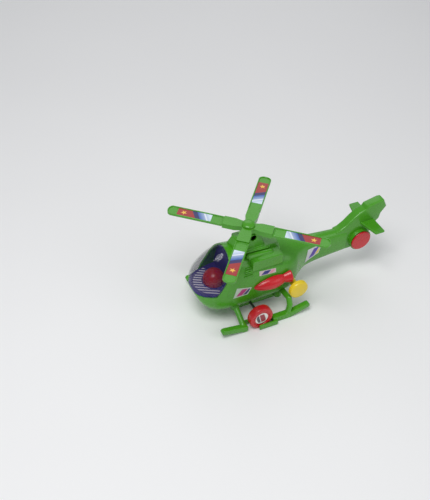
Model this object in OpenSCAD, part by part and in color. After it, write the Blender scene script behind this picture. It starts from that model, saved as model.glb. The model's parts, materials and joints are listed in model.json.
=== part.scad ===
// Wind-up toy helicopter: a hollow moulded body with a clockwork motor that
// turns the road wheels, the main rotor and a bell striker.
// Distances along the body are measured forward from the rotor axis, and
// frame_x then centres the whole toy on the origin. +X forward, +Y port, +Z up.

/* [Body] */
// Distance from the rotor axis to the tip of the nose
nose_len = 64; // [58:0.5:72]
// Distance from the rotor axis to the rear tip of the fin
tail_len = 177.5; // [160:0.5:200]
// Greatest half width of the body
body_half_w = 28.5; // [27:0.5:33]
// Height of the flat belly above the ground
belly_z = 15.5; // [14:0.5:18]
// Height of the widest line of the body
waist_z = 42; // [38:0.5:46]
// Height of the canopy's crown above the ground
canopy_z = 88.5; // [84:0.5:98]
// Wall thickness of the moulded body halves
wall = 1.8; // [1.4:0.1:2.4]
// Gap left between mouldings that meet face to face
seam = 0.06; // [0.04:0.01:0.1]

/* [Cockpit] */
// Wall thickness of the canopy
canopy_wall = 1.3; // [1:0.1:1.8]
// Height of the canopy's lower rim
sill_z = 41; // [38:0.5:44]
// Thickness of the cockpit tray
tray_t = 1.6; // [1.2:0.1:2.4]
// Radius of the pilot dome
dome_r = 12; // [9:0.5:13]
// Distance of the pilot dome ahead of the rotor axis
dome_x = 36.5; // [36:0.5:42]

/* [Rotor] */
// Distance from the rotor axis to a blade tip
rotor_r = 88; // [76:1:100]
// Gap between the cowl's top and the blades' underside
rotor_gap = 4.8; // [4.2:0.2:8]
// Chord of a rotor blade
blade_chord = 14; // [11:0.5:17]
// Thickness of a rotor blade's web
blade_t = 1.6; // [1.2:0.1:2.4]
// Height of the ribs along a blade's edges
rib_h = 1; // [0.6:0.1:1.6]
// Distance from the axis to the outer end of a hub sleeve
sleeve_r = 27; // [22:1:32]
// Angle of the first blade at rest, from the nose towards port
rotor_rest = 49; // [40:1:56]
// Radius of the steel rotor shaft
shaft_r = 1.5; // [1.2:0.1:2]

/* [Wheels and skids] */
// Radius of a road wheel
wheel_r = 14; // [12:0.5:14.5]
// Width of a road wheel
wheel_w = 9; // [7:0.5:9.5]
// Distance from the middle of the body to the middle of a skid
skid_y = 44.5; // [43:0.5:50]
// Width of a skid rail
rail_w = 7; // [6:0.5:8]
// Height of a skid rail
rail_h = 7; // [5:0.5:8]
// Distance of the skid's toe ahead of the rotor axis
skid_front = 47; // [40:1:56]
// Distance of the skid's rear end behind the rotor axis
skid_rear = 62; // [54:1:70]
// Thickness of a skid strut
strut_d = 6.5; // [5:0.5:7]
// Radius of the steel wheel axle
axle_r = 1.5; // [1.2:0.1:2]

/* [Winding knob] */
// Radius of the winding knob
knob_r = 11; // [9:0.5:13]
// Thickness of the winding knob
knob_t = 6; // [4:0.5:8]
// Distance from the middle of the body to the knob's outer face
knob_face_y = 44; // [42:0.5:48]

/* [Motor] */
// Module of every gear: pitch diameter over number of teeth
gear_m = 0.8; // [0.7:0.05:0.85]
// Tooth thinning that gives the gears their backlash
backlash = 0.22; // [0.16:0.02:0.3]
// Radius of the motor's steel arbors
arbor_r = 1.25; // [1:0.05:1.3]
// Radial clearance of every turning shaft in its bearing
running = 0.06; // [0.03:0.01:0.1]
// Thickness of a motor frame plate
plate_t = 1.6; // [1.2:0.1:2]
// Distance from the middle of the body to a plate's inner face
plate_y = 12; // [11.5:0.5:14]
// Radius of the bell
bell_r = 13; // [10:0.5:14]

/* [Tail] */
// Half span of the stabilizer
stab_half = 28; // [22:1:34]
// Chord of the stabilizer
stab_chord = 18; // [14:1:20]
// Thickness of the stabilizer
stab_t = 3; // [2:0.5:4]
// Radius of the red tail disc
disc_r = 12.5; // [10:0.5:14]
// Half thickness of the fin
fin_half_t = 5.5; // [4.5:0.5:7]

/* [Hidden] */

eps = 0.01;
slice_t = 0.15;

// Points of a blade's rounded tip, seen from above, narrowed by an edge
tip_round = 5;
function tip_points(edge) = [for (a = [-75 : 15 : 75])
    [rotor_r - tip_round + (tip_round - edge) * cos(a),
        (blade_chord / 2 - edge) * sin(a)]];
// The toy is centred between its rear end and whichever of the nose and the
// resting blades reaches further forward
blade_reach = max([for (k = [0 : 3], p = tip_points(0))
    p[0] * cos(rotor_rest + 90 * k) - p[1] * sin(rotor_rest + 90 * k)]);
frame_x = (tail_len - max(nose_len + slice_t, blade_reach)) / 2;
// A place measured forward from the rear tip of the fin
function aft(d) = d - tail_len;

// Gear train: numbers of teeth
pinion_n = 12;
great_n = 26;
second_n = 30;
third_n = 36;
axle_n = 18;
pressure_angle = 25;
addendum = 0.9;
dedendum = 1.2;

// Arbor places as [x, z]. The axle and the winding arbor are set by the body;
// the third arbor hangs at a fixed height, and the second closes the train.
function pitch_r(n) = gear_m * n / 2;
function mesh_gap(a, b) = pitch_r(a) + pitch_r(b);
// The meeting point, on the upper side, of circles of radius ra and rb about
// points a and b
function meet(a, b, ra, rb) =
    let(d = norm(b - a), u = (b - a) / d,
        k = (ra * ra - rb * rb + d * d) / (2 * d),
        h = sqrt(ra * ra - k * k))
    a + k * u + h * [-u[1], u[0]];
// Heights in the motor are measured up from the axle
function motor_z(h) = wheel_r + h;
axle_at = [0, wheel_r];
third_z = motor_z(8.5);
third_at = [-sqrt(pow(mesh_gap(third_n, axle_n), 2)
    - pow(third_z - wheel_r, 2)), third_z];
winder_at = [-47, motor_z(20.5)];
second_at = meet(winder_at, third_at, mesh_gap(great_n, pinion_n),
    mesh_gap(second_n, pinion_n));
function bearing(a, b) = atan2(b[1] - a[1], b[0] - a[0]);

// Lateral places of the gears
axle_spur_y = [7, 10.4];
third_wheel_y = [7.7, 9.7];
second_wheel_y = [4.3, 6.3];
great_wheel_y = [0.7, 3.1];
crown_root_y = pitch_r(pinion_n) + 1.1;
crown_tip_y = pitch_r(pinion_n) - 0.6;
crown_face = 1.4;
mesh_z = wheel_r + pitch_r(axle_n);

// A place along the boom, from its root to where it ends inside the fin
boom_root = -75;
function boom_x(f) = boom_root + f * (aft(49.5) - boom_root);
// Body sections: [x, half width, bottom, waist, top, roundness above the waist]
function lift(z) = z - 15.5 + belly_z;
function nose_at(f) = nose_len * f;
function body_sections() = [
    [nose_len, 4, 46, 49, 52, 2],
    [nose_at(0.978), body_half_w * 0.333, 39.5, 47, 60, 2],
    [nose_at(0.933), body_half_w * 0.509, 32.5, 45.5, 67, 2],
    [nose_at(0.86), body_half_w * 0.684, lift(25.5), 44, canopy_z - 16.5, 2],
    [nose_at(0.74), body_half_w * 0.807, lift(19), 43, canopy_z - 9, 2],
    [nose_at(0.59), body_half_w * 0.912, belly_z, waist_z, canopy_z - 3, 2],
    [28, body_half_w - 0.7, belly_z, waist_z, canopy_z, 2],
    [18, body_half_w - 0.3, belly_z + 0.1, waist_z, canopy_z - 2.5, 2.15],
    [5, body_half_w - 0.2, belly_z + 0.3, waist_z, canopy_z - 6.5, 2.3],
    [-20, body_half_w - 0.45, lift(16.5), waist_z, canopy_z - 9.5, 2.4],
    [-42, body_half_w - 1, lift(18.5), waist_z, canopy_z - 15, 2.4],
    [-52, body_half_w - 4, lift(22), 44, 71, 2.4],
    [-62, body_half_w - 11, lift(27), 46, 69, 2.4],
    [boom_x(0), 11.5, 31, 47, 67.2, 2.4],
    [boom_x(0.396), 9, 32.5, 48, 65.5, 2.4],
    [boom_x(1), 7.5, 34, 48, 63, 2.4]];

// One quarter-blended body section: squarer below the waist, rounder above
section_steps = 36;
low_power = 4.5;
function power_point(a, p) = [
    sign(cos(a)) * pow(abs(cos(a)), 2 / p),
    sign(sin(a)) * pow(abs(sin(a)), 2 / p)];
function section_points(s, inset) = [
    for (i = [0 : section_steps - 1])
        let(a = 360 * i / section_steps,
            q = power_point(a, sin(a) < 0 ? low_power : s[5]),
            half_z = sin(a) < 0 ? s[3] - s[2] - inset : s[4] - s[3] - inset)
        [q[0] * (s[1] - inset), s[3] + q[1] * half_z]];

module body_slice(s, inset, shift) {
    translate([s[0] + shift, 0, 0])
        rotate([90, 0, 90])
            linear_extrude(slice_t)
                polygon(section_points(s, inset));
}

// The egg-shaped body with its boom, drawn inset from the outside by a wall
module body_form(inset = 0) {
    secs = body_sections();
    first = inset > 2 ? 1 : 0;
    for (i = [first : len(secs) - 2])
        hull() {
            body_slice(secs[i], inset, i == first ? -inset * 0.6 : 0);
            body_slice(secs[i + 1], inset, 0);
        }
}

// Fin outline as [x, z], from the boom round the tip to the tail disc's boss
disc_at = [aft(31), 46];
module fin_outline() {
    translate(disc_at)
        circle(r = disc_r + 1.5, $fn = 64);
    polygon([[aft(63.5), 34], [aft(63.5), 64], [aft(57.5), 65.5],
        [aft(50.5), 70.5], [aft(43.5), 77.5], [aft(35.5), 83.5],
        [aft(28.5), 86.5], [aft(26.5), 90], [aft(9), 94], [aft(5), 93.5],
        [aft(0), 83.5], [aft(6), 75], [aft(7), 68], [aft(12), 63],
        [aft(17.5), 50], [aft(27.5), 34]]);
}

module fin_form(inset = 0) {
    rotate([90, 0, 0])
        for (layer = [[0, fin_half_t - 1.2], [1.3, fin_half_t]])
            linear_extrude(2 * (layer[1] - inset), center = true)
                offset(delta = -layer[0] - inset)
                    fin_outline();
}

// Boss that carries the tail disc on the port side
boss_y = fin_half_t + 4.5;
module disc_boss() {
    translate([disc_at[0], boss_y, disc_at[1]])
        rotate([90, 0, 0])
            cylinder(r = disc_r + 1.1, h = boss_y - 1, $fn = 72);
}

// The space under the canopy, as a side view from sill to crown
module cockpit_side(gap) {
    offset(delta = -gap)
        polygon([[44, sill_z], [nose_len + 8, sill_z], [nose_len + 8, 110],
            [27, 110], [27.5, canopy_z - 2], [30, 72], [34.5, 58]]);
}
module cockpit_space(gap = 0) {
    rotate([90, 0, 0])
        linear_extrude(2 * body_half_w + 20, center = true)
            cockpit_side(gap);
}

// A cylinder along Y from y0 to y1 about an arbor place
module rod_y(at, r, y0, y1, fn = 48) {
    translate([at[0], y1, at[1]])
        rotate([90, 0, 0])
            cylinder(r = r, h = y1 - y0, $fn = fn);
}
module box(x, y, z) {
    translate([x[0], y[0], z[0]])
        cube([x[1] - x[0], y[1] - y[0], z[1] - z[0]]);
}

// Screws that join the body halves: [x, z, side of the head, its seat's y]
screw_r = 1.5;
screw_head_r = 2.8;
screw_places = [[boom_x(0.594), 52, 1, 5], [-64, 48, -1, 8], [22, 24, -1, 8]];
post_wall = 1.6;
// Posts that run from the body's sides and meet at the seam
module screw_posts() {
    intersection() {
        body_form(wall / 2);
        for (s = screw_places)
            rod_y(s, screw_head_r + 0.4 + post_wall, -body_half_w, body_half_w, 28);
    }
}

// Missile places on the body's side
missile_at = [-20, 45];
missile_len = 45;
missile_r = 8.2;
missile_tilt = 4;
peg_r = 1.5;
peg_at = [[-8, 44], [-30, 46]];

// Openings of the motor and its shafts in the body
cover_x = [-38.5, 12.5];
cover_y = plate_y + plate_t + 2;

module body_half(side) {
    color([0.2, 0.62, 0.12])
        intersection() {
            translate([-300, side > 0 ? seam / 2 : -100 - seam / 2, -50])
                cube([500, 100, 250]);
            difference() {
                union() {
                    difference() {
                        union() {
                            body_form();
                            fin_form();
                        }
                        body_form(wall);
                        fin_form(wall);
                    }
                    if (side > 0)
                        disc_boss();
                    screw_posts();
                }
                cockpit_space();
                if (side > 0)
                    rod_y(disc_at, disc_r + 1.1 - wall, -1, boss_y - wall, 64);
                // belly opening for the motor
                box([cover_x[0] - 0.3, cover_x[1] + 0.3],
                    [-cover_y - 0.3, cover_y + 0.3], [0, waist_z - 14]);
                // rotor shaft and its bush
                translate([0, 0, canopy_z - 30])
                    cylinder(r = bush_r + 0.1, h = 60, $fn = 48);
                // winding arbor's way out
                if (side > 0)
                    rod_y(winder_at, 4.4, 0, body_half_w + 5);
                // stabilizer's slot through the fin
                stabilizer_form(0.12);
                // missile pegs
                for (p = peg_at)
                    rod_y(p, peg_r + 0.1, -body_half_w - 5, body_half_w + 5);
                // body screws: a recess on the head's side, a hole through both
                for (s = screw_places)
                    mirror([0, s[2] > 0 ? 0 : 1, 0]) {
                        rod_y(s, screw_head_r + 0.4, s[3], body_half_w + 5, 28);
                        rod_y(s, screw_r + 0.05, -s[3] - 0.5, s[3] + eps, 28);
                    }
                // skid screws
                for (p = pad_screw_at, w = [-1, 1])
                    translate([p[0], w * p[1], 0])
                        cylinder(r = pad_screw_r + 0.1, h = waist_z, $fn = 28);
            }
        }
}
module body_shell_port() { body_half(1); }
module body_shell_starboard() { body_half(-1); }

module canopy() {
    color([0.16, 0.22, 0.4, 0.5])
        intersection() {
            difference() {
                body_form();
                body_form(canopy_wall);
            }
            cockpit_space(seam);
        }
}

// Cockpit tray with the bulkhead behind the pilot dome
bulkhead_x = 22;
rim_x = 44.3;
tray_low = sill_z + seam;
tray_top = tray_low + tray_t;
module cockpit_tray() {
    span = [-body_half_w, body_half_w];
    color([0.1, 0.1, 0.35]) {
        // ahead of the rim's corner it rests on the body's edge
        intersection() {
            body_form(canopy_wall + seam);
            box([rim_x, nose_len], span, [tray_low, tray_top]);
        }
        intersection() {
            body_form(wall + 0.1);
            union() {
                box([bulkhead_x, rim_x + 1], span, [tray_low, tray_top]);
                box([bulkhead_x, bulkhead_x + tray_t], span, [tray_low, canopy_z]);
            }
        }
    }
}

module pilot_dome() {
    color([0.85, 0.1, 0.2])
        translate([dome_x, 0, tray_top + 0.02])
            difference() {
                rotate_extrude($fn = 72)
                    dome_profile(dome_r, 3);
                translate([0, 0, -eps])
                    cylinder(r = dome_r - 3, h = 2, $fn = 48);
            }
}
// A half dome of radius r on a short upright band of height h
module dome_profile(r, h) {
    translate([0, h])
        intersection() {
            circle(r = r, $fn = 72);
            square([r, r]);
        }
    square([r, h]);
}

// Mast cowl: front shoulder, tower round the shaft and rear deck
tower_z = canopy_z + 12.7;
shoulder_z = canopy_z + 5.5;
deck_z = canopy_z - 4.5;
rotor_z = tower_z + rotor_gap;
bush_r = 3.2;
exhaust_r = 3.4;
module slab(x, y, z, r = 2) {
    translate([0, 0, z])
        linear_extrude(eps)
            offset(r = r, $fn = 32)
                polygon([[x[0] + r, -y + r], [x[1] - r, -y + r],
                    [x[1] - r, y - r], [x[0] + r, y - r]]);
}
module cowl_form(inset = 0) {
    hull() {
        slab([-40 + inset, 25 - inset], 13 - inset, canopy_z - 22.5);
        slab([-33 + inset, 19 - inset], 11.5 - inset, deck_z - inset);
    }
    hull() {
        slab([-8 + inset, 24 - inset], 11.5 - inset, canopy_z - 12.5);
        slab([-6 + inset, 14.5 - inset], 9 - inset, shoulder_z - inset, 3);
    }
    hull() {
        slab([-20 + inset, 9 - inset], 10.5 - inset, canopy_z - 12.5);
        slab([-12 + inset, 6 - inset], 8.3 - inset, tower_z - inset, 4);
    }
}
// Raised rib along the foot of the cowl
module deck_rib(side, r) {
    hull()
        for (p = [[7, canopy_z - 6.1], [-21, canopy_z - 7.1]])
            translate([p[0], side * 12, p[1]])
                sphere(r = r, $fn = 24);
}
module mast_cowl() {
    color([0.2, 0.62, 0.12])
        difference() {
            union() {
                cowl_form();
                for (side = [-1, 1])
                    deck_rib(side, 1.3);
            }
            cowl_form(wall);
            translate([0, 0, canopy_z - 30])
                cylinder(r = bush_r + 0.1, h = 60, $fn = 48);
            rod_y([-3, tower_z - 4.4], exhaust_r, 3, 20);
            body_form(-seam);
        }
}
// Bearing of the rotor shaft, seated in the cowl's top
module mast_bush() {
    color([0.75, 0.6, 0.3])
        difference() {
            union() {
                translate([0, 0, tower_z - 8])
                    cylinder(r = bush_r, h = 8.5, $fn = 48);
                translate([0, 0, tower_z + seam])
                    cylinder(r = bush_r + 2, h = 1, $fn = 48);
            }
            translate([0, 0, tower_z - 20])
                cylinder(r = shaft_r + running, h = 40, $fn = 48);
        }
}

// Engine pod on the body's shoulder: rounded casing, ribbed intake, stub pipe
pod_x = [-35, 4];
pod_y = [12, 25.6];
pod_z = [canopy_z - 22.5, canopy_z - 8.5];
module pod_form() {
    hull()
        for (x = [pod_x[0] + 5, pod_x[1] - 1.5], z = [pod_z[0] + 2, pod_z[1] - 3])
            translate([x, pod_y[0], z])
                rotate([-90, 0, 0])
                    cylinder(r1 = 3, r2 = 2, h = pod_y[1] - pod_y[0], $fn = 32);
    hull() {
        translate([pod_x[1], 14, pod_z[0] + 9])
            sphere(r = 3.2, $fn = 24);
        translate([pod_x[1] + 9, 16, pod_z[0] + 6])
            sphere(r = 2.4, $fn = 24);
        translate([pod_x[1] + 8, 23.5, pod_z[0]])
            sphere(r = 2, $fn = 24);
        translate([pod_x[1], 23.5, pod_z[0] - 1])
            sphere(r = 2, $fn = 24);
    }
    hull() {
        translate([pod_x[1] + 1, 16.5, pod_z[1] + 0.5])
            sphere(r = 3.2, $fn = 24);
        translate([pod_x[0] + 14, 16.5, pod_z[1] - 1])
            sphere(r = 3, $fn = 24);
    }
}
module engine_pod(side) {
    color([0.16, 0.52, 0.1])
        mirror([0, side > 0 ? 0 : 1, 0])
            difference() {
                pod_form();
                // ribs of the intake
                for (i = [0 : 2])
                    translate([pod_x[1] + 1.2, 14, pod_z[0] + i * 2.6])
                        rotate([0, 0, -6])
                            cube([12, 20, 1.2]);
                body_form(-seam);
                cowl_form(-seam);
                deck_rib(1, 1.3 + seam);
            }
}
module engine_pod_port() { engine_pod(1); }
module engine_pod_starboard() { engine_pod(-1); }

// Missile: a fat bomb shape with a flat back and two pegs
missile_profile = [[1, 0], [0.97, 0.24], [0.9, 0.5], [0.78, 0.76], [0.62, 0.95],
    [0.48, 1], [0.36, 0.94], [0.26, 0.78], [0.21, 0.68], [0.12, 0.82],
    [0.03, 0.98], [0, 0.9], [0, 0]];
module missile(side) {
    color([0.82, 0.07, 0.09])
        mirror([0, side > 0 ? 0 : 1, 0]) {
            intersection() {
                translate([missile_at[0], body_half_w + seam, missile_at[1]])
                    rotate([0, missile_tilt, 0])
                        rotate([0, 90, 0])
                            rotate_extrude($fn = 64)
                                polygon([for (p = missile_profile)
                                    [p[1] * missile_r,
                                        (p[0] - 0.5) * missile_len]]);
                box([-80, 60], [body_half_w + seam, 60], [0, 90]);
            }
            for (p = peg_at)
                rod_y(p, peg_r, body_half_w - 2.6, body_half_w + 2);
        }
}
module missile_port() { missile(1); }
module missile_starboard() { missile(-1); }

// Skid: a rail with a slot for the wheel, two struts and two belly pads
rail_z = 0.5;
slot_gap = 0.9;
cheek_t = 2.5;
wheel_y = skid_y - 0.5;
slot_x = wheel_r + 1.4;
front_strut_x = 19;
rear_strut_x = -35;
pad_z = belly_z - 3;
pad_screw_y = cover_y + 4.9;
pad_screw_at = [[front_strut_x, pad_screw_y], [rear_strut_x + 1, pad_screw_y]];
skid_cheek_in = wheel_y - wheel_w / 2 - slot_gap;
skid_cheek_out = wheel_y + wheel_w / 2 + slot_gap;
module ball(p, d) {
    translate(p)
        sphere(d = d, $fn = 24);
}
module rod(a, b, d) {
    hull() {
        ball(a, d);
        ball(b, d);
    }
}
module rail_end(x0, x1, rise, tip) {
    hull() {
        for (y = [-1, 1])
            translate([x0, skid_y + y * (rail_w / 2 - 1.5), 0]) {
                translate([0, 0, rail_z + 1.5])
                    sphere(r = 1.5, $fn = 24);
                translate([0, 0, rail_z + rail_h - 1.5])
                    sphere(r = 1.5, $fn = 24);
            }
        translate([x1, skid_y, rail_z + rise + tip])
            rotate([90, 0, 0])
                cylinder(r = tip, h = rail_w - 1, center = true, $fn = 32);
    }
}
module skid_solid() {
    // rail, in front of and behind the wheel slot
    rail_end(slot_x + 3, skid_front - 3, 5, 3);
    rail_end(rear_strut_x - 4, 3 - skid_rear, 6, 3);
    box([-slot_x - 4 - 20, -slot_x], [skid_y - rail_w / 2, skid_y + rail_w / 2],
        [rail_z, rail_z + rail_h]);
    box([slot_x, slot_x + 6], [skid_y - rail_w / 2, skid_y + rail_w / 2],
        [rail_z, rail_z + rail_h]);
    // resting pad under the rear strut
    box([rear_strut_x - 6, rear_strut_x + 8],
        [skid_y - rail_w / 2 + 0.5, skid_y + rail_w / 2 - 0.5], [0, rail_z + 1]);
    // cheeks each side of the wheel
    box([-slot_x - 4, slot_x + 4], [skid_cheek_in - cheek_t, skid_cheek_in],
        [rail_z, rail_z + rail_h - 1]);
    box([-slot_x - 4, -slot_x], [skid_cheek_in - cheek_t, skid_cheek_out + cheek_t],
        [rail_z, rail_z + rail_h - 1]);
    box([slot_x, slot_x + 4], [skid_cheek_in - cheek_t, skid_y],
        [rail_z, rail_z + rail_h - 1]);
    box([-slot_x - 4, 3], [skid_cheek_out, skid_cheek_out + cheek_t],
        [rail_z, rail_z + rail_h - 1]);
    // front strut
    rod([front_strut_x, skid_y, rail_z + rail_h / 2],
        [front_strut_x + 0.5, body_half_w - 5, belly_z + 1], strut_d);
    // rear strut, bowed outwards
    rod([rear_strut_x, skid_y, rail_z + rail_h / 2],
        [rear_strut_x - 2, skid_y - 0.5, belly_z + 1], strut_d);
    rod([rear_strut_x - 2, skid_y - 0.5, belly_z + 1],
        [rear_strut_x - 2.5, skid_y - 5, belly_z + 7.5], strut_d);
    rod([rear_strut_x - 2.5, skid_y - 5, belly_z + 7.5],
        [rear_strut_x - 2, body_half_w - 6, belly_z + 7], strut_d);
    // pads under the belly
    for (p = pad_screw_at)
        hull() {
            translate([p[0], p[1], pad_z])
                cylinder(r = 5, h = 9, $fn = 32);
            translate([p[0], max(p[1], body_half_w - 7), pad_z])
                cylinder(r = 4, h = 9, $fn = 32);
        }
}
module skid(side) {
    color([0.2, 0.62, 0.12])
        mirror([0, side > 0 ? 0 : 1, 0])
            difference() {
                skid_solid();
                body_form(-seam);
                for (p = pad_screw_at)
                    translate([p[0], p[1], 0])
                        cylinder(r = pad_screw_r + 0.1, h = 40, $fn = 32);
                box([-60, 60], [-20, cover_y + 0.4], [0, 40]);
            }
}
module skid_port() { skid(1); }
module skid_starboard() { skid(-1); }

pad_screw_r = 1.3;
module pan_screw(r, head_r, len) {
    cylinder(r = r, h = len, $fn = 32);
    translate([0, 0, -1.5])
        difference() {
            cylinder(r = head_r, h = 1.5, $fn = 32);
            for (a = [0, 90])
                rotate([0, 0, a])
                    translate([-0.35, -head_r * 0.6, -eps])
                        cube([0.7, head_r * 1.2, 0.8]);
        }
}
module skid_screws() {
    color("silver")
        for (side = [-1, 1], p = pad_screw_at)
            translate([p[0], side * p[1], pad_z - seam])
                pan_screw(pad_screw_r, 2.5, 9);
}
module body_screws() {
    color("silver")
        for (s = screw_places)
            mirror([0, s[2] > 0 ? 0 : 1, 0])
                translate([s[0], s[3] + seam, s[1]])
                    rotate([90, 0, 0])
                        pan_screw(screw_r, screw_head_r, 2 * s[3]);
}

// Stabilizer: one plate through the fin
stab_x = aft(14.5);
stab_z = 66.5;
module stabilizer_form(gap = 0) {
    translate([0, 0, stab_z - gap])
        linear_extrude(stab_t + 2 * gap)
            offset(delta = gap)
                polygon([[stab_x, -stab_half], [stab_x + stab_chord - 6, -stab_half],
                    [stab_x + stab_chord, -fin_half_t], [stab_x + stab_chord, fin_half_t],
                    [stab_x + stab_chord - 6, stab_half], [stab_x, stab_half]]);
}
module stabilizer() {
    color([0.2, 0.62, 0.12])
        stabilizer_form();
}

// Red disc standing for the tail rotor, on its boss
module tail_disc() {
    color([0.82, 0.07, 0.09])
        translate([disc_at[0], boss_y + seam, disc_at[1]])
            rotate([-90, 0, 0])
                rotate_extrude($fn = 72)
                    polygon([[0, 0], [disc_r, 0], [disc_r, 1], [disc_r - 0.8, 1.8],
                        [0, 2.1]]);
}

// Motor frame plates with a bearing hole for each arbor and the axle
plate_far = plate_y + plate_t;
striker_at = [-13, motor_z(30)];
pillar_at = [[-51, motor_z(35)], [-34.4, motor_z(-3.6)], [6.8, motor_z(16.5)]];
pillar_r = 2;
pillar_pin_r = 1.2;
bridge_x = [-36, -30];
bridge_z = [motor_z(35.4), motor_z(37.6)];
module motor_plate(side) {
    color([0.72, 0.72, 0.74])
        difference() {
            translate([0, side > 0 ? plate_far : -plate_y, 0])
                rotate([90, 0, 0])
                    linear_extrude(plate_t)
                        polygon([for (p = [[-54, 15], [-54, 38.6], [-26, 38.6],
                            [-7, 34], [9.5, 20], [9.5, -5.5], [-36.5, -5.5],
                            [-36.5, 13]]) [p[0], motor_z(p[1])]]);
            for (a = [winder_at, second_at, third_at])
                rod_y(a, arbor_r + running, -20, 20);
            rod_y(axle_at, axle_r + running, -20, 20);
            for (p = pillar_at)
                rod_y(p, pillar_pin_r + 0.03, -20, 20, 32);
            if (side > 0)
                rod_y(striker_at, striker_pin_r + 0.03, -20, 20, 32);
        }
}
module motor_plate_port() { motor_plate(1); }
module motor_plate_starboard() { motor_plate(-1); }
module motor_pillars() {
    color([0.6, 0.6, 0.62])
        for (p = pillar_at) {
            rod_y(p, pillar_r, -plate_y + 0.03, plate_y - 0.03);
            rod_y(p, pillar_pin_r, -plate_far - 0.3, plate_far + 0.3, 32);
        }
}
// Cross bar between the plates that steadies the rotor shaft's foot
bracket_z = [mesh_z + 4.4, mesh_z + 7.4];
module shaft_bracket() {
    color([0.72, 0.72, 0.74])
        difference() {
            box([-4.2, 4.2], [-plate_y + 0.03, plate_y - 0.03], bracket_z);
            translate([0, 0, bracket_z[0] - 1])
                cylinder(r = shaft_r + running, h = 6, $fn = 48);
        }
}
// Cover that closes the motor's underside below the belly
cover_floor_t = 1.2;
gear_clear = 0.6;
cover_z = min(third_z - pitch_r(third_n), wheel_r - pitch_r(axle_n))
    - addendum * gear_m - gear_clear - cover_floor_t;
cover_t = 1.4;
module motor_cover() {
    color([0.16, 0.52, 0.1])
        difference() {
            box(cover_x, [-cover_y, cover_y], [cover_z, belly_z + 4]);
            box([cover_x[0] + cover_t, cover_x[1] - cover_t],
                [cover_t - cover_y, cover_y - cover_t],
                [cover_z + cover_floor_t, belly_z + 5]);
            rod_y(axle_at, axle_r + 0.5, -30, 30);
        }
}

// Bell, upside-down cup of spring steel, on a post that spans the plates
bell_at = -33;
bell_z = motor_z(39.6);
bell_h = 8;
bell_t = 0.8;
bell_post_r = 1.5;
function bell_curve(r, h, n = 12) = [for (i = [0 : n])
    [r * sin(90 * i / n), h * cos(90 * i / n)]];
module bell() {
    color([0.8, 0.8, 0.84])
        translate([bell_at, 0, bell_z])
            difference() {
                rotate_extrude($fn = 72)
                    polygon(concat(bell_curve(bell_r, bell_h),
                        [[bell_r - bell_t, 0]],
                        [for (i = [11 : -1 : 0])
                            [(bell_r - bell_t) * sin(90 * i / 12),
                                (bell_h - bell_t) * cos(90 * i / 12)]]));
                cylinder(r = bell_post_r + 0.05, h = 20, $fn = 32);
            }
}
module bell_post() {
    color([0.6, 0.6, 0.62])
        union() {
            box(bridge_x, [-plate_y + 0.03, plate_y - 0.03], bridge_z);
            translate([bell_at, 0, bridge_z[1] - 1])
                cylinder(r = 2.4, h = bell_z + bell_h - bell_t - seam
                    - bridge_z[1] + 1 - 0.2, $fn = 32);
            translate([bell_at, 0, bridge_z[1] - 1])
                cylinder(r = bell_post_r, h = bell_z + bell_h - bridge_z[1] + 2,
                    $fn = 32);
            translate([bell_at, 0, bell_z + bell_h + seam])
                cylinder(r = 2.6, h = 1.4, $fn = 32);
        }
}
// Bell striker: a lever with a hammer, tripped by the third wheel's teeth
striker_pin_r = 1;
striker_y = [7.9, 9.5];
hammer_at = striker_at + [-5.9, 10.6];
striker_tip_z = third_z + pitch_r(third_n) + addendum * gear_m + 1.28;
module striker_pin() {
    color("silver")
        union() {
            rod_y(striker_at, striker_pin_r, striker_y[0] - 0.6, plate_far + 0.2, 32);
            rod_y(striker_at, 2, striker_y[0] - 1.2, striker_y[0] - 0.4, 32);
        }
}
module striker() {
    color([0.55, 0.55, 0.58])
        difference() {
            union() {
                rod_y(striker_at, 2.4, striker_y[0], striker_y[1]);
                translate([0, striker_y[1], 0])
                    rotate([90, 0, 0])
                        linear_extrude(striker_y[1] - striker_y[0])
                            polygon([striker_at + [-2, 1], striker_at + [2, 1],
                                hammer_at + [2.4, -0.5], hammer_at + [-0.4, -0.5]]);
                translate([0, striker_y[1], 0])
                    rotate([90, 0, 0])
                        linear_extrude(striker_y[1] - striker_y[0])
                            polygon([striker_at + [-2, -1], striker_at + [2, -1],
                                [striker_at[0] - 1, striker_tip_z],
                                [striker_at[0] - 3, striker_tip_z]]);
                rod_y(hammer_at, 1.6, striker_y[0] - 2, striker_y[1] + 0.6, 32);
            }
            rod_y(striker_at, striker_pin_r + running, 0, 20, 32);
        }
}

// Involute gear outlines
function involute(a) = tan(a) * 180 / PI - a;
function tooth_half(r, n) =
    let(rp = pitch_r(n), rb = rp * cos(pressure_angle))
    90 / n - backlash / (4 * rp) * 180 / PI + involute(pressure_angle)
        - involute(acos(min(1, rb / r)));
flank_steps = 4;
function gear_points(n) =
    let(rp = pitch_r(n), rb = rp * cos(pressure_angle),
        root = rp - dedendum * gear_m, tip = rp + addendum * gear_m,
        start = max(rb, root))
    [for (k = [0 : n - 1])
        let(mid = 360 * k / n)
        each concat(
            [root * [cos(mid - tooth_half(start, n)), sin(mid - tooth_half(start, n))]],
            [for (i = [0 : flank_steps])
                let(r = start + eps + (tip - start - eps) * i / flank_steps,
                    a = mid - tooth_half(r, n))
                r * [cos(a), sin(a)]],
            [for (i = [flank_steps : -1 : 0])
                let(r = start + eps + (tip - start - eps) * i / flank_steps,
                    a = mid + tooth_half(r, n))
                r * [cos(a), sin(a)]],
            [root * [cos(mid + tooth_half(start, n)), sin(mid + tooth_half(start, n))]])];
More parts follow.
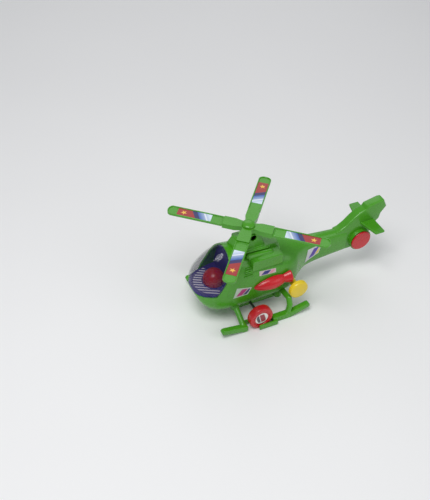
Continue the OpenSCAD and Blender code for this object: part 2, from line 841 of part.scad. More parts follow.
// A spur gear about an arbor place between two lateral planes, turned so that
// a tooth points along the given angle in the side view
module spur(n, at, y, angle) {
    translate([at[0], y[1], at[1]])
        rotate([90, 0, 0])
            rotate([0, 0, angle])
                linear_extrude(y[1] - y[0])
                    polygon(gear_points(n));
}
module sleeve(at, r, y0, y1) { rod_y(at, r, y0, y1, 32); }
sleeve_end = plate_y - 0.25;
fit_gap = 0.02;

module great_wheel() {
    color([0.9, 0.88, 0.8])
        difference() {
            union() {
                spur(great_n, winder_at, great_wheel_y, bearing(winder_at, second_at));
                sleeve(winder_at, 2.1, great_wheel_y[1] - 0.5, sleeve_end);
            }
            rod_y(winder_at, arbor_r + fit_gap, -20, 20, 32);
        }
}
module second_wheel() {
    color([0.9, 0.88, 0.8])
        difference() {
            union() {
                spur(pinion_n, second_at, [great_wheel_y[0] - 0.4, second_wheel_y[0] + 0.2],
                    bearing(second_at, winder_at) + 180 / pinion_n);
                spur(second_n, second_at, second_wheel_y, bearing(second_at, third_at));
                sleeve(second_at, 2.4, -sleeve_end, second_wheel_y[1]);
            }
            rod_y(second_at, arbor_r + fit_gap, -20, 20, 32);
        }
}
module third_wheel() {
    color([0.9, 0.88, 0.8])
        difference() {
            union() {
                spur(pinion_n, third_at, [second_wheel_y[0] - 0.4, second_wheel_y[1] + 0.4],
                    bearing(third_at, second_at) + 180 / pinion_n);
                spur(third_n, third_at, third_wheel_y, bearing(third_at, axle_at));
                sleeve(third_at, 2.4, -sleeve_end, sleeve_end);
            }
            rod_y(third_at, arbor_r + fit_gap, -20, 20, 32);
        }
}
// Axle gear: a spur for the train and crown teeth for the rotor's pinion
module crown_tooth() {
    rp = pitch_r(axle_n);
    half_tip = gear_m * 0.28;
    half_root = gear_m * 0.8;
    translate([0, 0, rp - crown_face / 2])
        linear_extrude(crown_face)
            polygon([[-half_tip, crown_tip_y], [half_tip, crown_tip_y],
                [half_root, crown_root_y + 0.1], [-half_root, crown_root_y + 0.1]]);
}
module axle_gear() {
    color([0.9, 0.88, 0.8])
        difference() {
            union() {
                spur(axle_n, axle_at, axle_spur_y, bearing(axle_at, third_at) + 180 / axle_n);
                rod_y(axle_at, pitch_r(axle_n) + 0.6, crown_root_y, axle_spur_y[0] + 0.1, 64);
                for (k = [0 : axle_n - 1])
                    translate([axle_at[0], 0, axle_at[1]])
                        rotate([0, 360 * k / axle_n, 0])
                            crown_tooth();
                sleeve(axle_at, 2.7, -sleeve_end, crown_root_y + 0.1);
                sleeve(axle_at, 2.7, axle_spur_y[1] - 0.5, sleeve_end);
            }
            rod_y(axle_at, axle_r + fit_gap, -20, 20, 32);
        }
}
module wheel_axle() {
    color([0.35, 0.35, 0.38])
        rod_y(axle_at, axle_r, -wheel_y - wheel_w / 2 + 2, wheel_y + wheel_w / 2 - 2);
}
// Road wheel: tyre tread with rounded shoulders, sunk hub, stub bore
module road_wheel(side) {
    h = wheel_w / 2;
    color([0.82, 0.07, 0.09])
        translate([axle_at[0], side * wheel_y, axle_at[1]])
            rotate([side > 0 ? -90 : 90, 0, 0])
                rotate_extrude($fn = 96)
                    polygon([[axle_r + fit_gap, -h + 0.4], [4, -h + 0.4], [4, -h + 1.6],
                        [wheel_r - 3.5, -h + 1.6], [wheel_r - 3.2, -h],
                        [wheel_r - 1.2, -h], [wheel_r - 0.3, -h + 0.9],
                        [wheel_r, -h + 2], [wheel_r, h - 2], [wheel_r - 0.3, h - 0.9],
                        [wheel_r - 1.2, h], [wheel_r - 4, h], [wheel_r - 4.4, h - 0.9],
                        [0.001, h - 0.9], [0.001, h - 1.8],
                        [axle_r + fit_gap, h - 1.8]]);
}
module wheel_port() { road_wheel(1); }
module wheel_starboard() { road_wheel(-1); }

module winding_arbor() {
    color([0.35, 0.35, 0.38])
        rod_y(winder_at, arbor_r, -plate_far - 0.6, knob_face_y - 1.6);
}
module plain_arbor(at) {
    color([0.35, 0.35, 0.38])
        rod_y(at, arbor_r, -plate_far - 0.3, plate_far + 0.3);
}
module second_arbor() { plain_arbor(second_at); }
module third_arbor() { plain_arbor(third_at); }
module winding_knob() {
    color([0.95, 0.8, 0.05])
        translate([winder_at[0], knob_face_y, winder_at[1]])
            rotate([90, 0, 0])
                difference() {
                    rotate_extrude($fn = 72)
                        polygon([[0, 0], [knob_r - 1.6, 0], [knob_r - 0.5, 0.5],
                            [knob_r, 1.6], [knob_r, knob_t - 0.8],
                            [knob_r - 0.8, knob_t], [3.8, knob_t],
                            [3.8, knob_t + knob_face_y - body_half_w - 3],
                            [0, knob_t + knob_face_y - body_half_w - 3]]);
                    translate([0, 0, 1.5])
                        cylinder(r = arbor_r + fit_gap, h = 60, $fn = 32);
                }
}
// Mainspring: a flat spiral about the winding arbor
spring_turns = 6;
spring_strip = 0.35;
spring_y = [-10, 0.3];
function spiral(r0, r1, turns, n) = [for (i = [0 : n])
    let(a = 360 * turns * i / n, r = r0 + (r1 - r0) * i / n)
    r * [cos(a), sin(a)]];
module mainspring() {
    steps = spring_turns * 24;
    color([0.4, 0.42, 0.48])
        translate([winder_at[0], spring_y[1], winder_at[1]])
            rotate([90, 0, 0])
                linear_extrude(spring_y[1] - spring_y[0])
                    polygon(concat(spiral(1.6, 9, spring_turns, steps),
                        [for (i = [steps : -1 : 0])
                            spiral(1.6 + spring_strip, 9 + spring_strip,
                                spring_turns, steps)[i]]));
}

// Rotor: cross-shaped hub with four sleeves, each holding a blade's tongue
hub_low = rotor_z - 2;
hub_high = rotor_z + blade_t + 2.2;
sleeve_half = 6.6;
tongue_half = 5;
module rotor_turn(k = 0) {
    rotate([0, 0, rotor_rest + 90 * k])
        children();
}
module rotor_hub() {
    color([0.2, 0.62, 0.12])
        difference() {
            union() {
                translate([0, 0, hub_low - 1])
                    cylinder(r = 8, h = hub_high - hub_low + 1, $fn = 64);
                for (k = [0 : 3])
                    rotor_turn(k)
                        translate([0, 0, hub_low])
                            linear_extrude(hub_high - hub_low)
                                polygon([[0, -5], [8, -5], [14, -sleeve_half],
                                    [sleeve_r, -sleeve_half], [sleeve_r, sleeve_half],
                                    [14, sleeve_half], [8, 5], [0, 5]]);
            }
            for (k = [0 : 3])
                rotor_turn(k)
                    translate([10, -tongue_half - 0.1, rotor_z - 0.1])
                        cube([sleeve_r, 2 * tongue_half + 0.2, blade_t + 0.2]);
            translate([0, 0, hub_low - 2])
                cylinder(r = shaft_r + fit_gap, h = 20, $fn = 48);
        }
}
module rotor_cap() {
    color([0.2, 0.62, 0.12])
        translate([0, 0, hub_high + seam])
            rotate_extrude($fn = 72)
                polygon(concat([[0, 0]], [for (i = [0 : 12])
                    [7.2 * cos(90 * i / 12), 0.6 + 3.2 * sin(90 * i / 12)]],
                    [[0, 3.8]]));
}
module rotor_blade(k) {
    root = sleeve_r + 0.15;
    half = blade_chord / 2;
    color([0.2, 0.62, 0.12])
        rotor_turn(k)
            translate([0, 0, rotor_z]) {
                translate([10.3, -tongue_half, 0])
                    cube([sleeve_r - 9, 2 * tongue_half, blade_t]);
                linear_extrude(blade_t)
                    blade_outline(root, half, 0);
                linear_extrude(blade_t + rib_h)
                    difference() {
                        blade_outline(root, half, 0);
                        blade_outline(root + 1.2, half, 1.2);
                    }
            }
}
// Blade seen from above, with a rounded tip; edge narrows it for the rib
module blade_outline(root, half, edge) {
    polygon(concat(
        [[root, -half + edge], [rotor_r - tip_round, -half + edge]],
        tip_points(edge),
        [[rotor_r - tip_round, half - edge], [root, half - edge]]));
}
module rotor_blade_1() { rotor_blade(0); }
module rotor_blade_2() { rotor_blade(1); }
module rotor_blade_3() { rotor_blade(2); }
module rotor_blade_4() { rotor_blade(3); }
pinion_z = [mesh_z - 1.4, mesh_z + 1.6];
module rotor_shaft() {
    color([0.35, 0.35, 0.38])
        translate([0, 0, pinion_z[0]])
            cylinder(r = shaft_r, h = hub_high - pinion_z[0] - 0.3, $fn = 48);
}
// Pinion at the shaft's foot: a gap between two teeth faces the crown
module rotor_pinion() {
    color([0.9, 0.88, 0.8])
        difference() {
            union() {
                translate([0, 0, pinion_z[0]])
                    rotate([0, 0, 90 + 180 / pinion_n])
                        linear_extrude(pinion_z[1] - pinion_z[0])
                            polygon(gear_points(pinion_n));
                translate([0, 0, pinion_z[1] - 0.2])
                    cylinder(r = 3, h = bracket_z[0] - pinion_z[1], $fn = 32);
            }
            translate([0, 0, pinion_z[0] - 1])
                cylinder(r = shaft_r + fit_gap, h = 20, $fn = 48);
        }
}

// Moves a sub-part from the rotor's axis to the toy's own origin
module placed() {
    translate([frame_x, 0, 0])
        children();
}

placed() body_shell_port();
placed() body_shell_starboard();
placed() canopy();
placed() cockpit_tray();
placed() pilot_dome();
placed() mast_cowl();
placed() mast_bush();
placed() engine_pod_port();
placed() engine_pod_starboard();
placed() missile_port();
placed() missile_starboard();
placed() skid_port();
placed() skid_starboard();
placed() skid_screws();
placed() body_screws();
placed() stabilizer();
placed() tail_disc();
placed() motor_plate_port();
placed() motor_plate_starboard();
placed() motor_pillars();
placed() shaft_bracket();
placed() motor_cover();
placed() bell();
placed() bell_post();
placed() striker_pin();
placed() striker();
placed() rotor_hub();
placed() rotor_cap();
placed() rotor_blade_1();
placed() rotor_blade_2();
placed() rotor_blade_3();
placed() rotor_blade_4();
placed() rotor_shaft();
placed() rotor_pinion();
placed() wheel_axle();
placed() wheel_port();
placed() wheel_starboard();
placed() axle_gear();
placed() winding_knob();
placed() winding_arbor();
placed() great_wheel();
placed() mainspring();
placed() second_arbor();
placed() second_wheel();
placed() third_arbor();
placed() third_wheel();
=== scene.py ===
"""Looks for the wind-up toy helicopter: smooth mouldings, finishes, stickers, lights and camera."""

import json
import logging
import math
from dataclasses import dataclass, field
from enum import Enum
from typing import Any, Callable, Iterable, Sequence

import bmesh
import bpy
from mathutils import Matrix, Vector

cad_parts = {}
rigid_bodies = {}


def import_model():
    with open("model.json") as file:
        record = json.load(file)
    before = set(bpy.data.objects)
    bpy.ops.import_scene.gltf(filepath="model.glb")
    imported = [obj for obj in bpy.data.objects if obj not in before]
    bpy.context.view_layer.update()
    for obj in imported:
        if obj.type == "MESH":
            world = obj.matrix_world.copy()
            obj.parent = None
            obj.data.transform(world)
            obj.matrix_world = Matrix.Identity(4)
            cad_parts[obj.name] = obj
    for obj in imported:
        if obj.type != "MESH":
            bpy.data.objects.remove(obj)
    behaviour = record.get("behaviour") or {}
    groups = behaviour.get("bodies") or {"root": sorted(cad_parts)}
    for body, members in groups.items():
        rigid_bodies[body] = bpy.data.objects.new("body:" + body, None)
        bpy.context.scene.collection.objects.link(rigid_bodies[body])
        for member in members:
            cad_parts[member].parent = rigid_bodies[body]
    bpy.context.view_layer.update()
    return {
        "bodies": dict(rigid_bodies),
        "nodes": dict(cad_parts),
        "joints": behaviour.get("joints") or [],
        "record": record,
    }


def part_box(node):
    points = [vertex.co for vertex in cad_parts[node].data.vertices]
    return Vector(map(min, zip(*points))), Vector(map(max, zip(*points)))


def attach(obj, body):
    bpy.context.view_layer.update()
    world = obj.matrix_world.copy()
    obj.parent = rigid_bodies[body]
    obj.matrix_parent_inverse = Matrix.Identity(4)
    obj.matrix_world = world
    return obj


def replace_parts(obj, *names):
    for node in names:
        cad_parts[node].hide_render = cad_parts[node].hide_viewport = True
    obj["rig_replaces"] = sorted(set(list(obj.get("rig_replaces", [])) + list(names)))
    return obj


log = logging.getLogger("helicopter")

MM = 0.001
DOME_AHEAD = 36.5
REST_DEG = 49.0
BLADE_THICK = 1.6
SMOOTHEST = 180.0
Colour = tuple[float, float, float]
Section = tuple[float, float, float, float, float, float]


class Side(Enum):
    """Which side of the toy a piece is on."""

    PORT = 1
    STARBOARD = -1


# --------------------------------------------------------------------------
# Shader writing
# --------------------------------------------------------------------------


class Wire:
    """A shader value that can be used in Python expressions."""

    def __init__(self, tree: bpy.types.NodeTree, socket: bpy.types.NodeSocket) -> None:
        """Keeps the socket and the tree that new nodes go in.

        Args:
            tree: The material's node tree.
            socket: The output that this value comes from.
        """
        self.tree = tree
        self.socket = socket

    def _math(self, operation: str, *values: "Wire | float", clamp: bool = False) -> "Wire":
        """Adds a Math node.

        Args:
            operation: The node's operation.
            values: Its inputs, in order.
            clamp: Whether its result is held between 0 and 1.

        Returns:
            The node's result.
        """
        node = self.tree.nodes.new("ShaderNodeMath")
        node.operation = operation
        node.use_clamp = clamp
        for i, value in enumerate(values):
            if isinstance(value, Wire):
                self.tree.links.new(value.socket, node.inputs[i])
            else:
                node.inputs[i].default_value = value
        return Wire(self.tree, node.outputs[0])

    def __add__(self, other: "Wire | float") -> "Wire":
        """The sum."""
        return self._math("ADD", self, other)

    __radd__ = __add__

    def __mul__(self, other: "Wire | float") -> "Wire":
        """The product."""
        return self._math("MULTIPLY", self, other)

    __rmul__ = __mul__

    def __sub__(self, other: "Wire | float") -> "Wire":
        """The difference."""
        return self._math("SUBTRACT", self, other)

    def __rsub__(self, other: float) -> "Wire":
        """The difference, with this value taken away."""
        return self._math("SUBTRACT", other, self)

    def __truediv__(self, other: "Wire | float") -> "Wire":
        """The quotient."""
        return self._math("DIVIDE", self, other)

    def __rtruediv__(self, other: float) -> "Wire":
        """The quotient, with this value as the divisor."""
        return self._math("DIVIDE", other, self)

    def above(self, limit: "Wire | float") -> "Wire":
        """1 where this value is above the limit, and 0 elsewhere."""
        return self._math("GREATER_THAN", self, limit)

    def below(self, limit: "Wire | float") -> "Wire":
        """1 where this value is below the limit, and 0 elsewhere."""
        return self._math("LESS_THAN", self, limit)

    def between(self, low: float, high: float) -> "Wire":
        """1 where this value lies between two limits, and 0 elsewhere."""
        return self.above(low) * self.below(high)

    def fraction(self) -> "Wire":
        """The part after the decimal point."""
        return self._math("FRACT", self)

    def root(self) -> "Wire":
        """The square root."""
        return self._math("SQRT", self)

    def angle(self, other: "Wire") -> "Wire":
        """The angle whose tangent is this value over the other one."""
        return self._math("ARCTAN2", self, other)

    def held(self) -> "Wire":
        """The value, held between 0 and 1."""
        return self._math("ADD", self, 0.0, clamp=True)


class Paint:
    """One material and the nodes in it."""

    def __init__(self, name: str) -> None:
        """Starts an empty material with its surface shader.

        Args:
            name: The material's name.
        """
        self.material = bpy.data.materials.new(name)
        self.material.use_nodes = True
        self.tree = self.material.node_tree
        self.shader = next(n for n in self.tree.nodes if n.type == "BSDF_PRINCIPLED")
        self.place = self.node("ShaderNodeTexCoord").outputs["Object"]

    def node(self, kind: str, settings: dict[str, Any] | None = None,
             sockets: dict[Any, Any] | None = None) -> bpy.types.Node:
        """Adds any node.

        Args:
            kind: The node's type.
            settings: Properties that are set before its sockets.
            sockets: Values or links of its inputs.

        Returns:
            The node.
        """
        node = self.tree.nodes.new(kind)
        for key, value in (settings or {}).items():
            setattr(node, key, value)
        for key, value in (sockets or {}).items():
            if isinstance(value, Wire):
                self.tree.links.new(value.socket, node.inputs[key])
            elif isinstance(value, bpy.types.NodeSocket):
                self.tree.links.new(value, node.inputs[key])
            else:
                node.inputs[key].default_value = value
        return node

    def wire(self, socket: bpy.types.NodeSocket) -> Wire:
        """Makes a socket usable in an expression."""
        return Wire(self.tree, socket)

    def axes(self) -> tuple[Wire, Wire, Wire]:
        """The place on the toy in millimetres, one value for each axis."""
        parts = self.node("ShaderNodeSeparateXYZ", sockets={0: self.place}).outputs
        return tuple(self.wire(p) * 1000.0 for p in parts)

    def patch(self) -> tuple[Wire, Wire]:
        """The place on a sticker, from 0 to 1 along and across it."""
        uv = self.node("ShaderNodeUVMap", {"uv_map": "patch"}).outputs[0]
        parts = self.node("ShaderNodeSeparateXYZ", sockets={0: uv}).outputs
        return self.wire(parts[0]), self.wire(parts[1])

    def noise(self, scale: float, detail: float = 2.0) -> Wire:
        """Soft mottling with cells of about 1/scale metres."""
        sockets = {"Vector": self.place, "Scale": scale, "Detail": detail}
        return self.wire(self.node("ShaderNodeTexNoise", sockets=sockets).outputs[0])

    def mix(self, share: Wire | float, low: Any, high: Any) -> bpy.types.NodeSocket:
        """Mixes two colours.

        Args:
            share: How much of the second colour shows.
            low: The first colour, or the output that gives it.
            high: The second colour, or the output that gives it.

        Returns:
            The mixed colour's output.
        """
        def full(c: Any) -> Any:
            """A colour with its fourth number."""
            return (*c, 1.0) if isinstance(c, tuple) and len(c) == 3 else c
        node = self.node("ShaderNodeMix", {"data_type": "RGBA"}, {0: share, 6: full(low), 7: full(high)})
        return node.outputs[2]

    def shade(self, **sockets: Any) -> None:
        """Sets or links the surface shader's own sockets, by name with _ for a space."""
        for key, value in sockets.items():
            target = self.shader.inputs[key.replace("_", " ")]
            if isinstance(value, Wire):
                self.tree.links.new(value.socket, target)
            elif isinstance(value, bpy.types.NodeSocket):
                self.tree.links.new(value, target)
            else:
                target.default_value = (*value, 1.0) if isinstance(value, tuple) else value

    def bump(self, height: Wire, strength: float, distance: float) -> None:
        """Gives the surface a fine relief.

        Args:
            height: The relief, from 0 to 1.
            strength: How strongly it shows.
            distance: Its depth in metres.
        """
        sockets = {"Height": height, "Strength": strength, "Distance": distance}
        self.shade(Normal=self.node("ShaderNodeBump", sockets=sockets).outputs[0])


@dataclass(frozen=True)
class Moulding:
    """Glossy injection-moulded plastic, with faint flow marks and handling haze."""

    name: str
    colour: Colour
    rough: float = 0.27
    coat: float = 0.15

    def make(self) -> bpy.types.Material:
        """Builds the material.

        Returns:
            The finished material.
        """
        paint = Paint(self.name)
        flow = paint.noise(28.0, 3.0)
        grain = paint.noise(900.0, 2.0)
        haze = paint.noise(120.0, 4.0)
        deep = tuple(c * 0.8 for c in self.colour)
        bright = tuple(min(1.0, c * 1.1 + 0.01) for c in self.colour)
        paint.shade(Base_Color=paint.mix(flow, deep, bright), Roughness=haze * 0.16 + (self.rough - 0.08),
                    Coat_Weight=self.coat, Coat_Roughness=0.12)
        paint.bump(grain * 0.35 + flow * 0.65, 0.12, 0.0004)
        return paint.material


@dataclass(frozen=True)
class Metal:
    """Plain or plated metal with a drawn grain."""

    name: str
    colour: Colour
    rough: float = 0.3

    def make(self) -> bpy.types.Material:
        """Builds the material.

        Returns:
            The finished material.
        """
        paint = Paint(self.name)
        grain = paint.noise(600.0, 3.0)
        stain = paint.noise(60.0, 3.0)
        dull = tuple(c * 0.72 for c in self.colour)
        paint.shade(Base_Color=paint.mix(stain, dull, self.colour), Metallic=1.0,
                    Roughness=grain * 0.2 + (self.rough - 0.1))
        paint.bump(grain, 0.15, 0.0002)
        return paint.material


@dataclass(frozen=True)
class SmokedClear:
    """Clear plastic with a blue smoke tint, a little denser towards the sill."""

    name: str
    colour: Colour
    sill_colour: Colour = (0.02, 0.035, 0.2)
    fade_z: float = 64.0
    fade_per_mm: float = 0.02

    def make(self) -> bpy.types.Material:
        """Builds the material.

        Returns:
            The finished material.
        """
        paint = Paint(self.name)
        haze = paint.noise(90.0, 3.0)
        _, _, z = paint.axes()
        low = ((z * -1.0 + self.fade_z) * self.fade_per_mm).held()
        paint.shade(Base_Color=paint.mix(low, self.colour, self.sill_colour), Roughness=haze * 0.05 + 0.04,
                    Alpha=low * 0.06 + 0.22, Coat_Weight=0.5, Coat_Roughness=0.02)
        paint.bump(haze, 0.04, 0.0003)
        return paint.material


@dataclass(frozen=True)
class DialPrint:
    """The cockpit floor's print: rings and rays round the dome, hatching at the rim."""

    name: str
    centre_x: float
    floor_z: float = 43.2
    ring_pitch: float = 3.6
    ray_count: float = 24.0
    dial_in: float = 13.5
    dial_out: float = 21.0
    rim_aft: float = 12.0
    rim_long: float = 36.0
    rim_wide: float = 25.0
    hatch_pitch: float = 4.2

    def make(self) -> bpy.types.Material:
        """Builds the material.

        Returns:
            The finished material.
        """
        paint = Paint(self.name)
        x, y, z = paint.axes()
        floor_only = z.below(self.floor_z)
        dx = x - self.centre_x
        radius = (dx * dx + y * y).root()
        rings = (radius / self.ring_pitch).fraction().below(0.12) * radius.below(self.dial_out) * floor_only
        spokes = (y.angle(dx) * (self.ray_count / math.tau)).fraction().below(0.1)
        rays = spokes * radius.between(self.dial_in, self.dial_out) * floor_only
        ex = (x - (self.centre_x - self.rim_aft)) / self.rim_long
        ey = y / self.rim_wide
        rim = (ex * ex + ey * ey).root()
        stripes = ((x * 0.55 + y) / self.hatch_pitch).fraction().below(0.42) * floor_only
        hatch = stripes * rim.between(0.7, 0.97) * x.above(self.centre_x + 1.0)
        tint = paint.noise(70.0, 2.0)
        base = paint.mix(tint, (0.03, 0.015, 0.16), (0.06, 0.03, 0.32))
        lined = paint.mix((rings + rays).held() * 0.55, base, (0.2, 0.2, 0.62))
        paint.shade(Base_Color=paint.mix(hatch, lined, (0.9, 0.86, 0.98)), Roughness=tint * 0.15 + 0.3)
        paint.bump(tint, 0.05, 0.0003)
        return paint.material


@dataclass(frozen=True)
class BladeBand:
    """A blade's foil band: white, blue, a slanted navy stripe, then red towards the tip."""

    name: str
    lean: float = 0.16
    navy_from: float = 0.46
    red_from: float = 0.6

    def make(self) -> bpy.types.Material:
        """Builds the material.

        Returns:
            The finished material.
        """
        paint = Paint(self.name)
        u, v = paint.patch()
        slant = u + v * self.lean
        sky = paint.mix(((slant - 0.1) * 2.9).held(), (0.68, 0.8, 0.92), (0.01, 0.1, 0.42))
        streak = paint.mix(slant.between(0.22, 0.27) * 0.7, sky, (0.9, 0.94, 0.98))
        navy = paint.mix(slant.between(self.navy_from, self.red_from), streak, (0.006, 0.006, 0.11))
        red = paint.mix(slant.above(self.red_from), navy, (0.36, 0.006, 0.006))
        foil = paint.noise(220.0, 2.0)
        paint.shade(Base_Color=red, Roughness=foil * 0.1 + 0.26, Coat_Weight=0.4)
        paint.bump(foil, 0.05, 0.0002)
        return paint.material


@dataclass(frozen=True)
class Sticker:
    """A generic printed label: a pale ground with two slanted bars."""

    name: str
    ground: Colour
    first: Colour
    second: Colour
    split: float = 0.5

    def make(self) -> bpy.types.Material:
        """Builds the material.

        Returns:
            The finished material.
        """
        paint = Paint(self.name)
        u, v = paint.patch()
        slant = u - v * 0.3
        edge = u.between(0.06, 0.94) * v.between(0.12, 0.88)
        bars = paint.mix(slant.between(self.split - 0.4, self.split) * edge, self.ground, self.first)
        both = paint.mix(slant.between(self.split + 0.06, self.split + 0.3) * edge, bars, self.second)
        paper = paint.noise(400.0, 2.0)
        paint.shade(Base_Color=both, Roughness=paper * 0.12 + 0.32)
        paint.bump(paper, 0.05, 0.0001)
        return paint.material


GREEN = (0.062, 0.335, 0.006)
RED = (0.6, 0.004, 0.012)
FINISHES: dict[str, Any] = {
    "green_gloss": Moulding("green_gloss", GREEN),
    "red_gloss": Moulding("red_gloss", RED, 0.28, 0.15),
    "yellow_gloss": Moulding("yellow_gloss", (0.85, 0.62, 0.012), 0.3, 0.2),
    "gear_cream": Moulding("gear_cream", (0.74, 0.7, 0.55), 0.45, 0.0),
    "smoked_clear": SmokedClear("smoked_clear", (0.003, 0.008, 0.035)),
    "bush_brass": Metal("bush_brass", (0.72, 0.5, 0.2)),
    "screw_steel": Metal("screw_steel", (0.68, 0.68, 0.7), 0.25),
    "plate_grey": Metal("plate_grey", (0.6, 0.61, 0.63), 0.4),
    "bell_steel": Metal("bell_steel", (0.78, 0.78, 0.8), 0.2),
    "dark_steel": Metal("dark_steel", (0.2, 0.2, 0.22), 0.35),
    "spring_steel": Metal("spring_steel", (0.22, 0.25, 0.33), 0.3),
}


# --------------------------------------------------------------------------
# Workshop: making pieces
# --------------------------------------------------------------------------


@dataclass
class Workshop:
    """Turns meshes into pieces that ride on the right body with the right finish."""

    frame: dict[str, Any]
    slots: dict[str, str] = field(default_factory=dict)
    bodies: dict[str, str] = field(default_factory=dict)
    finishes: dict[str, bpy.types.Material] = field(default_factory=dict)
    axis_x: float = 0.0
    weld: float = 0.004
    flat_deg: float = 0.6

    def __post_init__(self) -> None:
        """Reads slots, bodies and the rotor's axis from the frame."""
        record = self.frame["record"]
        self.slots = {s["node"]: s["material_slot"] for s in record["subparts"]}
        for body, nodes in record["behaviour"]["bodies"].items():
            self.bodies.update({n: body for n in nodes})
        spin = next(j for j in self.frame["joints"] if j["name"] == "rotor_spin")
        self.axis_x = spin["pos_m"][0] / MM

    def finish(self, slot: str) -> bpy.types.Material:
        """The material of a slot, made the first time it is asked for."""
        if slot not in self.finishes:
            maker = FINISHES.get(slot) or DialPrint("tray_navy", self.axis_x + DOME_AHEAD)
            self.finishes[slot] = maker.make()
        return self.finishes[slot]

    def keep(self, name: str, mesh: bmesh.types.BMesh, body: str, slot: str,
             material: bpy.types.Material | None = None, stands_for: Sequence[str] = (),
             crease: float = 32.0) -> bpy.types.Object:
        """Makes a piece from a mesh.

        Args:
            name: The piece's name.
            mesh: Its shape, in metres; it is freed.
            body: The CAD body it moves with.
            slot: The record's material slot.
            material: Its material, if it isn't the slot's own.
            stands_for: The CAD nodes it replaces.
            crease: The angle past which an edge stays sharp, in degrees.

        Returns:
            The piece.
        """
        for face in mesh.faces:
            face.smooth = True
        for edge in mesh.edges:
            edge.smooth = len(edge.link_faces) == 2 and edge.calc_face_angle(0.0) < math.radians(crease)
        data = bpy.data.meshes.new(name)
        mesh.to_mesh(data)
        mesh.free()
        piece = bpy.data.objects.new(name, data)
        bpy.context.scene.collection.objects.link(piece)
        data.materials.append(material or self.finish(slot))
        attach(piece, body)
        if stands_for:
            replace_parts(piece, *stands_for)
        log.info("%s: %d faces on %s", name, len(data.polygons), body)
        return piece

    def merged(self, node: str) -> bmesh.types.BMesh:
        """A CAD node's mesh with its loose triangles joined.

        Args:
            node: The CAD node.

        Returns:
            The merged mesh.
        """
        mesh = bmesh.new()
        mesh.from_mesh(self.frame["nodes"][node].data)
        bmesh.ops.remove_doubles(mesh, verts=mesh.verts, dist=self.weld * MM)
        bmesh.ops.dissolve_degenerate(mesh, edges=mesh.edges, dist=self.weld * MM)
        bmesh.ops.dissolve_limit(mesh, angle_limit=math.radians(self.flat_deg), verts=mesh.verts,
                                 edges=mesh.edges)
        return mesh

    def softened(self, node: str, width: float, steps: int = 2) -> bpy.types.Object:
        """A copy of a CAD node with its sharp edges rounded, as a mould leaves them.

        Args:
            node: The CAD node it replaces.
            width: The width of the rounding in millimetres.
            steps: The number of facets in the rounding.

        Returns:
            The piece.
        """
        piece = self.keep(node + ".moulded", self.merged(node), self.bodies[node], self.slots[node],
                          stands_for=[node])
        bevel = piece.modifiers.new("edges", "BEVEL")
        bevel.width = width * MM
        bevel.segments = steps
        bevel.limit_method = "ANGLE"
        bevel.angle_limit = math.radians(35.0)
        return piece

    def melted(self, node: str, voxel: float, passes: int) -> bpy.types.Object:
        """A copy of a CAD node with every corner flowed round, as on a hollow moulding.

        Args:
            node: The CAD node it replaces.
            voxel: The size of the remesh in millimetres.
            passes: How many times the surface is smoothed.

        Returns:
            The piece.
        """
        piece = self.keep(node + ".moulded", self.merged(node), self.bodies[node], self.slots[node],
                          stands_for=[node], crease=SMOOTHEST)
        remesh = piece.modifiers.new("even", "REMESH")
        remesh.mode = "VOXEL"
        remesh.voxel_size = voxel * MM
        remesh.use_smooth_shade = True
        smooth = piece.modifiers.new("flow", "SMOOTH")
        smooth.factor = 0.5
        smooth.iterations = passes
        return piece

    def dress(self, node: str) -> None:
        """Gives a CAD node that stays as it is its own finish."""
        data = self.frame["nodes"][node].data
        data.materials.clear()
        data.materials.append(self.finish(self.slots[node]))


# --------------------------------------------------------------------------
# The lofted body
# --------------------------------------------------------------------------


